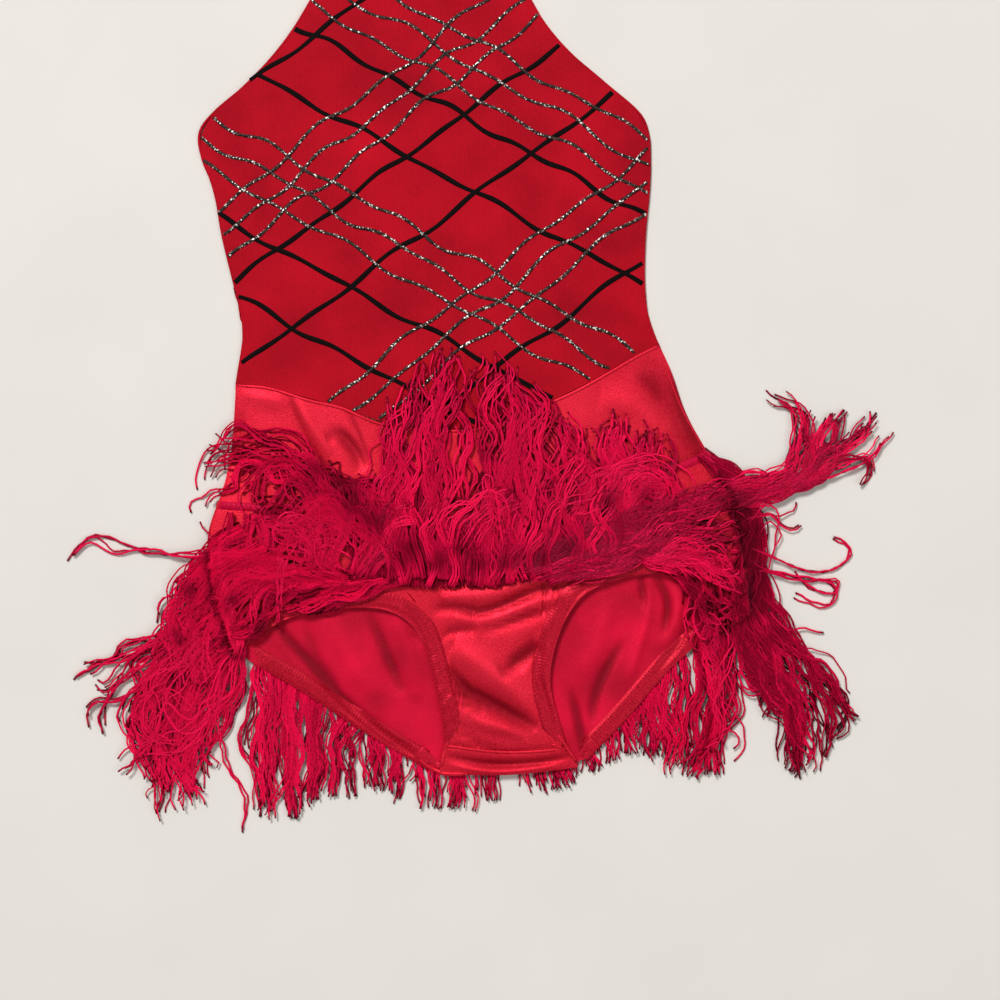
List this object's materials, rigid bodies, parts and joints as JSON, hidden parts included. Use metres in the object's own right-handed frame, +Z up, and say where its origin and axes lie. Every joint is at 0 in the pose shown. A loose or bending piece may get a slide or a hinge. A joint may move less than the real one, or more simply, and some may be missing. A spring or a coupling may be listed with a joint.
{
  "type": "fringed halter dance leotard",
  "caption": "Child's halter dance leotard laid flat: ribbed bodice, satin brief with elastic leg hems and gusset, and long fringe turned up at the front and splayed at the sides.",
  "frame": {"origin": "On the flat underside of the back bodice, near the middle of the laid-flat garment, on the surface it lies on.", "axes": "+Z is up, off the surface; +Y runs to the neck; +X runs to the right as seen from above, the front facing up."},
  "size_m": [0.4903, 0.5163, 0.017],
  "materials": {
    "ribbed_cloth": "matt deep red fine-ribbed stretch cloth",
    "satin": "red satin stretch cloth with a soft sheen",
    "satin_inside": "the satin cloth's dull inner side",
    "elastic_hem": "turned satin hem over narrow elastic",
    "fringe_yarn": "crimson chainette yarn"
  },
  "bodies": {
    "root": {"front_bodice": "ribbed_cloth", "back_bodice": "ribbed_cloth", "neck_band": "ribbed_cloth", "front_brief": "satin", "back_brief": "satin_inside", "gusset": "satin", "leg_hem_front_left": "elastic_hem", "leg_hem_front_right": "elastic_hem", "leg_hem_back_left": "elastic_hem", "leg_hem_back_right": "elastic_hem", "fringe_back": "fringe_yarn", "fringe_front_lower": "fringe_yarn", "fringe_front_upper_left": "fringe_yarn", "fringe_front_upper_right": "fringe_yarn", "fringe_side_left": "fringe_yarn", "fringe_side_right": "fringe_yarn"}
  },
  "joints": []
}
